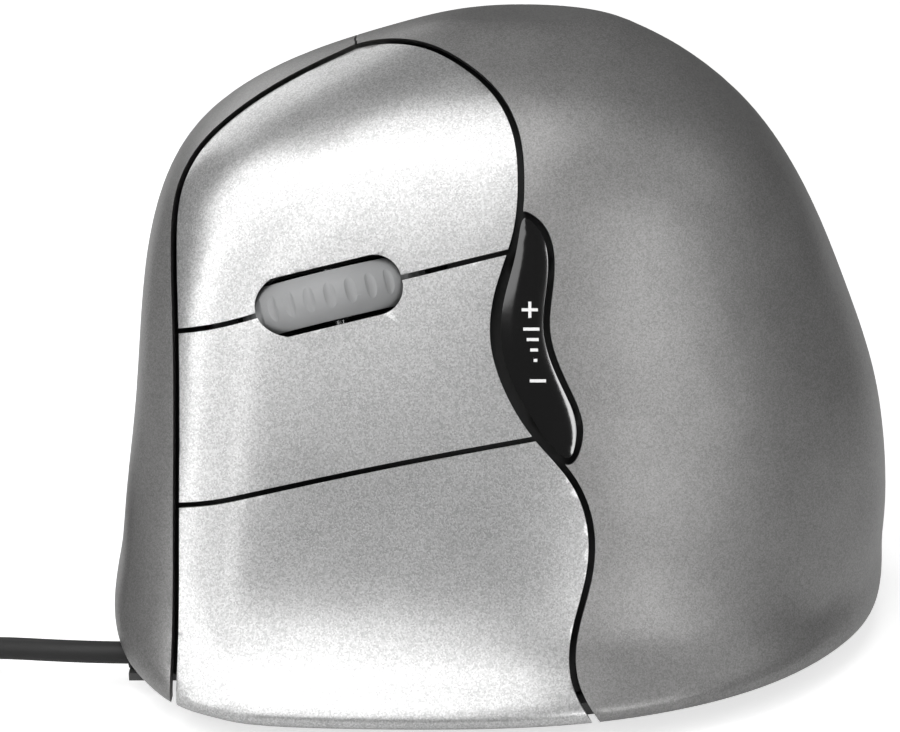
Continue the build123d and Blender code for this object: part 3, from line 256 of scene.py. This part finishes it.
boardLook = {
    "mask": (0.006, 0.085, 0.035, 1), "trace": (0.012, 0.14, 0.06, 1),
    "pad": (0.66, 0.62, 0.50, 1), "pitch": 2.4, "waverSize": 9.0, "waver": 6.0,
    "traceEdge": (0.35, 0.55), "padPitch": 5.2, "padRadius": 0.11, "relief": 0.03,
    "maskRough": 0.38, "traceRough": 0.3, "padGloss": 0.08, "padMetal": 0.8, "coat": 0.3,
}


def circuit(name):
    look = boardLook
    paint = Paint(name)
    waver = paint.noise(look["waverSize"], detail=0.0) * look["waver"]
    lanes = ((paint.axis("Y") + waver) * (2 * math.pi / look["pitch"])).sine()
    track = lanes.fade(*look["traceEdge"])
    pads = paint.cells(look["padPitch"]).under(look["padRadius"])
    copper = paint.blend(track, look["mask"], look["trace"])
    paint.set(
        baseColor=paint.blend(pads, copper, look["pad"]),
        roughness=track.between(look["maskRough"], look["traceRough"]) - pads * look["padGloss"],
        metallic=pads * look["padMetal"], normal=paint.bump(track + pads, look["relief"]),
        coatWeight=look["coat"],
    )
    return paint.material


resinLook = {
    "cloudSize": 2.5, "shade": 0.8, "rippleSize": 0.5, "rippleDepth": 0.004, "smooth": 0.05,
    "rough": 0.12, "ior": 1.49, "clear": 0.85,
}


def clearResin(name, tint, glow):
    look = resinLook
    paint = Paint(name)
    cloud = paint.noise(look["cloudSize"])
    color = paint.blend(cloud, (*tint, 1), (*(look["shade"] * part for part in tint), 1))
    ripple = paint.noise(look["rippleSize"], detail=1.0)
    paint.set(
        baseColor=color, roughness=cloud.between(look["smooth"], look["rough"]),
        normal=paint.bump(ripple, look["rippleDepth"]), transmissionWeight=look["clear"],
        emissionColor=color, emissionStrength=glow,
    )
    paint.shader.inputs["IOR"].default_value = look["ior"]
    return paint.material


# The finger face: a plane leaning back from the desk, as the panels and the rocker use it.
faceTilt = math.radians(21.4)
faceOrigin = (-22.008, 0.0, 42.0)
faceRight = (0.0, -1.0, 0.0)
faceUp = (math.sin(faceTilt), 0.0, math.cos(faceTilt))

rockerLook = {
    "plus": (2.95, 11.6), "minus": (4.0, 2.4), "arm": 1.05, "stroke": 0.20,
    "firstBar": (3.15, 9.1), "barPitch": 1.35, "barCount": 4, "barShift": 0.18,
    "barShorter": 0.26, "black": grey(0.002), "ink": grey(0.82), "hazeSize": 5.0,
    "smooth": 0.06, "rough": 0.12, "inkRough": 0.3, "rippleSize": 1.6, "rippleDepth": 0.002,
    "shine": 0.9,
}


# A plus, four shrinking bars and a minus, printed on gloss black.
def rockerMaterial():
    look = rockerLook
    paint = Paint("gloss rocker")
    right = paint.along(faceOrigin, faceRight)
    up = paint.along(faceOrigin, faceUp)
    arm, stroke = look["arm"], look["stroke"]

    def dash(place, halfWide, halfTall):
        return abs(right - place[0]).under(halfWide) * abs(up - place[1]).under(halfTall)

    ink = dash(look["plus"], arm, stroke) + dash(look["plus"], stroke, arm)
    ink = ink + dash(look["minus"], arm, stroke)
    for index in range(look["barCount"]):
        place = (
            look["firstBar"][0] + index * look["barShift"],
            look["firstBar"][1] - index * look["barPitch"],
        )
        ink = ink + dash(place, arm * (1 - index * look["barShorter"]), stroke)
    ink = ink.clamp()
    haze = paint.noise(look["hazeSize"], detail=3.0)
    ripple = paint.noise(look["rippleSize"], detail=1.0)
    paint.set(
        baseColor=paint.blend(ink, look["black"], look["ink"]),
        roughness=haze.between(look["smooth"], look["rough"]) + ink * look["inkRough"],
        normal=paint.bump(ripple, look["rippleDepth"]),
    )
    paint.shader.inputs["Specular IOR Level"].default_value = look["shine"]
    return paint.material


finishes = {
    "pewter": luster("pewter shell", pewterPaint),
    "front": luster("pewter front", frontPaint),
    "silver": luster("silver flake", silverPaint),
    "black": moulded("black plastic", blackPlastic),
    "tray": moulded("tray plastic", trayPlastic),
    "glider": moulded("glide feet", gliderPlastic),
    "thumb": moulded("thumb keys", thumbPlastic),
    "cord": moulded("cord rubber", cordRubber),
    "wheel": moulded("wheel rubber", wheelRubber),
    "nylon": moulded("pale nylon", paleNylon),
    "resin": moulded("dark resin", darkResin),
    "steel": moulded("steel", steelWork),
    "blackSteel": moulded("black steel", blackSteel),
    "can": moulded("capacitor can", canMetal),
    "gold": moulded("gold contact", goldPlate),
    "board": circuit("circuit board"),
    "lens": clearResin("clear lens", (0.9, 0.95, 0.96), 0.0),
    "led": clearResin("red resin", (0.8, 0.05, 0.03), 0.4),
    "rocker": rockerMaterial(),
}
print("stage: materials made")

nodeFinishes = {
    "palm_shell": "pewter", "thumb_shell": "front", "inner_frame": "black", "base_tray": "tray",
    "glide_feet": "glider", "housing_screws": "blackSteel", "board_screws": "blackSteel",
    "lower_button": "silver", "middle_button": "silver", "upper_button": "silver",
    "lower_plunger": "nylon", "middle_plunger": "nylon", "upper_plunger": "nylon",
    "button_switches": "resin", "hinge_rod": "steel", "button_board": "board",
    "speed_rocker": "rocker", "rocker_pin": "steel", "rocker_switches": "resin",
    "rear_thumb_button": "thumb", "front_thumb_button": "thumb", "thumb_board": "board",
    "thumb_switches": "resin", "wheel_tyre": "wheel", "wheel_hub": "black",
    "wheel_axle": "steel", "wheel_carrier": "black", "wheel_encoder": "resin",
    "carrier_pin": "steel", "click_switch": "resin", "main_board": "board",
    "optical_sensor": "resin", "sensor_lens": "lens", "sensor_led": "led",
    "controller_chip": "resin", "capacitors": "can", "cord_socket": "nylon",
    "cord_grommet": "cord", "cord_inner": "cord", "cord_ties": "black", "plug_grip": "cord",
    "plug_shell": "steel", "plug_tongue": "nylon", "plug_contacts": "gold",
}
edgeLook = {"segments": 3, "sharpAngle": 32, "weld": 0.002, "faceWeight": 80}
edgeWidths = {
    "palm_shell": 0.50, "thumb_shell": 0.55, "lower_button": 0.40, "middle_button": 0.40,
    "upper_button": 0.40, "speed_rocker": 0.40, "rear_thumb_button": 0.35,
    "front_thumb_button": 0.35, "base_tray": 0.30, "glide_feet": 0.25, "plug_grip": 0.50,
    "plug_shell": 0.10, "wheel_tyre": 0.15, "cord_ties": 0.15, "cord_grommet": 0.15,
}
# The wide painted forms, where the faces and not the rounded edges lead the shading.
levelNodes = ("palm_shell", "thumb_shell", "lower_button", "middle_button", "upper_button")


def dress(name, finish):
    piece = nodes[name]
    piece.data.materials.clear()
    piece.data.materials.append(finishes[finish])
    piece.modifiers.new("weld", "WELD").merge_threshold = edgeLook["weld"] * mm
    if name in edgeWidths:
        edge = piece.modifiers.new("edge", "BEVEL")
        edge.width = edgeWidths[name] * mm
        edge.segments = edgeLook["segments"]
        edge.limit_method = "ANGLE"
        edge.angle_limit = math.radians(edgeLook["sharpAngle"])
    if name in levelNodes:
        level = piece.modifiers.new("level", "WEIGHTED_NORMAL")
        level.weight = edgeLook["faceWeight"]
        level.keep_sharp = True


for name, finish in nodeFinishes.items():
    dress(name, finish)
print("stage: pieces dressed")

# The cord follows the part's route: lead, four spirals of the coil and the tail.
cordLook = {
    "diameter": 3.0, "coilWest": -14.0, "coilY": 106.0, "pitch": 3.46, "innerRadius": 11.4,
    "turns": 13.0417, "layers": 4, "climbTurns": 0.5, "rest": 2.45, "perTurn": 24, "sides": 6,
    "smoothing": 3,
}
leadPoints = (
    (-22.0, 45.0, 5.4), (-22.0, 52.4, 5.4), (-21.2, 60.2, 5.3), (-18.4, 68.4, 4.4),
    (-15.7, 77.4, 3.0), (-14.4, 87.0, 2.3), (-14.0, 96.5, 2.45),
)
# Each run of the tail: its length, its heading in degrees and how far it sinks.
tailRuns = (
    (14.0, 75.0, 0.0), (15.0, 60.0, 0.9), (14.0, 38.0, 2.3), (12.5, 14.0, 2.6), (10.5, -12.0, 1.7),
    (12.0, -40.0, 1.0), (11.0, -66.0, 0.5), (8.5, -90.0, 0.0),
)


# A place on the coil after so many turns: it winds inward, climbs a layer and winds outward.
def coilPlace(turns, swell=1.0):
    look = cordLook
    span = look["turns"] / look["layers"]
    layer = min(int(turns / span), look["layers"] - 1)
    share = turns / span - layer
    outward = share if layer % 2 else 1 - share
    radius = look["innerRadius"] + look["pitch"] * span * outward
    climb = sum(
        min(max((turns - turn * span) / look["climbTurns"] + 0.5, 0), 1) * look["pitch"]
        for turn in range(1, look["layers"])
    )
    angle = math.pi - turns * 2 * math.pi
    centre = look["coilWest"] + look["innerRadius"] + span * look["pitch"]
    return Vector((
        centre + swell * radius * math.cos(angle),
        look["coilY"] + swell * radius * math.sin(angle), look["rest"] + climb,
    ))


def cordRoute():
    turns, perTurn = cordLook["turns"], cordLook["perTurn"]
    count = round(turns * perTurn)
    # Control points stand a little outside the curve that they shape.
    swell = 1 / math.cos(math.pi / perTurn)
    points = [Vector(point) for point in leadPoints]
    points.append(coilPlace(0))
    points += [coilPlace(turns * step / count, swell) for step in range(1, count)]
    place = coilPlace(turns)
    points.append(place)
    for length, heading, drop in tailRuns:
        angle = math.radians(heading)
        place = place + Vector((length * math.cos(angle), length * math.sin(angle), -drop))
        points.append(place)
    return points


def makeCord():
    points = cordRoute()
    curve = bpy.data.curves.new("cord", "CURVE")
    curve.dimensions = "3D"
    curve.bevel_depth = cordLook["diameter"] / 2 * mm
    curve.bevel_resolution = cordLook["sides"]
    curve.resolution_u = cordLook["smoothing"]
    curve.use_fill_caps = True
    spline = curve.splines.new("NURBS")
    spline.points.add(len(points) - 1)
    for point, place in zip(spline.points, points):
        point.co = (*(place * mm), 1)
    spline.order_u = 3
    spline.use_endpoint_u = True
    made = bpy.data.objects.new("cord", curve)
    bpy.context.collection.objects.link(made)
    curve.materials.append(finishes["cord"])
    return made


def lineLength(piece):
    line = piece.copy()
    line.data = piece.data.copy()
    line.data.bevel_depth = 0
    bpy.context.collection.objects.link(line)
    shape = line.evaluated_get(bpy.context.evaluated_depsgraph_get()).to_mesh()
    places = [vertex.co.copy() for vertex in shape.vertices]
    bpy.data.objects.remove(line)
    return sum((after - before).length for before, after in zip(places, places[1:]))


cord = makeCord()
bpy.context.view_layer.update()
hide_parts("cord_lead", "cord_coil", "cord_tail")
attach(cord, "housing")
cordLength = lineLength(cord)
print("stage: cord laid", round(cordLength, 3))

# The photograph's view; width, height, focal and targetPixel are in its pixels.
view = {
    "target": (0.0, 0.0, 40.0), "elevation": 21.0, "distance": 440.0, "focal": 3220.8,
    "width": 900, "height": 732, "sensor": 36.0, "targetPixel": (507.0, 353.0), "near": 20.0,
}


def makeCamera():
    data = bpy.data.cameras.new("camera")
    camera = bpy.data.objects.new("camera", data)
    bpy.context.collection.objects.link(camera)
    angle = math.radians(view["elevation"])
    back = Vector((-math.cos(angle), 0, math.sin(angle))) * view["distance"]
    camera.location = (Vector(view["target"]) + back) * mm
    camera.rotation_euler = (-back).to_track_quat("-Z", "Y").to_euler()
    data.sensor_width = view["sensor"]
    data.lens = view["sensor"] * view["focal"] / view["width"]
    data.shift_x = (view["width"] / 2 - view["targetPixel"][0]) / view["width"]
    data.shift_y = (view["targetPixel"][1] - view["height"] / 2) / view["width"]
    data.clip_start = view["near"] * mm
    bpy.context.scene.camera = camera


# Where the camera sees a stage surface itself, with a share of that in reflections.
def seenDirectly(paint, glossShare):
    camera, glossy, through = (
        paint.node("ShaderNodeLightPath", output=name)
        for name in ("Is Camera Ray", "Is Glossy Ray", "Is Transmission Ray")
    )
    return (camera + glossy * glossShare + through).clamp()


floorLook = {
    "reach": 4000, "drop": 0.2, "color": grey(0.72), "grainSize": 60.0, "smooth": 0.72,
    "rough": 0.8, "glossShare": 0.15, "glow": grey(0.66),
}


def makeFloor():
    look = floorLook
    reach = look["reach"] * mm
    mesh = bpy.data.meshes.new("floor")
    mesh.from_pydata(
        [(-reach, -reach, 0), (reach, -reach, 0), (reach, reach, 0), (-reach, reach, 0)], [],
        [(0, 1, 2, 3)],
    )
    floor = bpy.data.objects.new("floor", mesh)
    bpy.context.collection.objects.link(floor)
    floor.location.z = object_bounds()[0][2] - look["drop"] * mm
    paint = Paint("floor")
    grain = paint.noise(look["grainSize"])
    seen = seenDirectly(paint, look["glossShare"])
    paint.set(
        baseColor=look["color"], roughness=grain.between(look["smooth"], look["rough"]),
        emissionColor=paint.blend(seen, grey(0.0), look["glow"]), emissionStrength=1.0,
    )
    mesh.materials.append(paint.material)


skyLook = {"glossShare": 0.05, "light": grey(0.10), "seen": grey(0.85)}


def makeSky():
    world = bpy.data.worlds.new("world")
    bpy.context.scene.world = world
    sky = Sky(world)
    seen = seenDirectly(sky, skyLook["glossShare"])
    sky.set(color=sky.blend(seen, skyLook["light"], skyLook["seen"]), strength=1.0)


# Each softbox: where it stands, what it faces, its width and height, and its watts.
softboxes = {
    "key": ((-420, 110, 470), (0, 0, 45), (320, 480), 1.15),
    "front left": ((-540, 370, 230), (0, 0, 40), (120, 260), 0.28),
    "front right": ((-570, -290, 230), (0, -10, 50), (60, 230), 0.42),
    "far right": ((-500, -410, 260), (0, -10, 50), (200, 240), 0.48),
    "overhead": ((-130, 40, 620), (0, 0, 50), (340, 340), 0.85),
    "upper left": ((-180, 350, 470), (0, 20, 50), (360, 360), 1.00),
    "upper right": ((-160, -400, 440), (0, -20, 50), (300, 300), 0.30),
    "left strip": ((-310, 445, 190), (-10, 10, 40), (60, 340), 0.45),
    "behind": ((400, 300, 330), (0, 0, 40), (360, 360), 0.60),
}


def makeSoftbox(name, place, aim, size, watts):
    data = bpy.data.lights.new(name, "AREA")
    data.shape = "RECTANGLE"
    data.size, data.size_y = size[0] * mm, size[1] * mm
    data.energy = watts
    lamp = bpy.data.objects.new(name, data)
    bpy.context.collection.objects.link(lamp)
    lamp.location = Vector(place) * mm
    lamp.rotation_euler = (Vector(aim) - Vector(place)).to_track_quat("-Z", "Y").to_euler()


makeCamera()
makeFloor()
makeSky()
for name, values in softboxes.items():
    makeSoftbox(name, *values)
bpy.context.scene.view_settings.view_transform = "Standard"
print("stage: camera and light set")
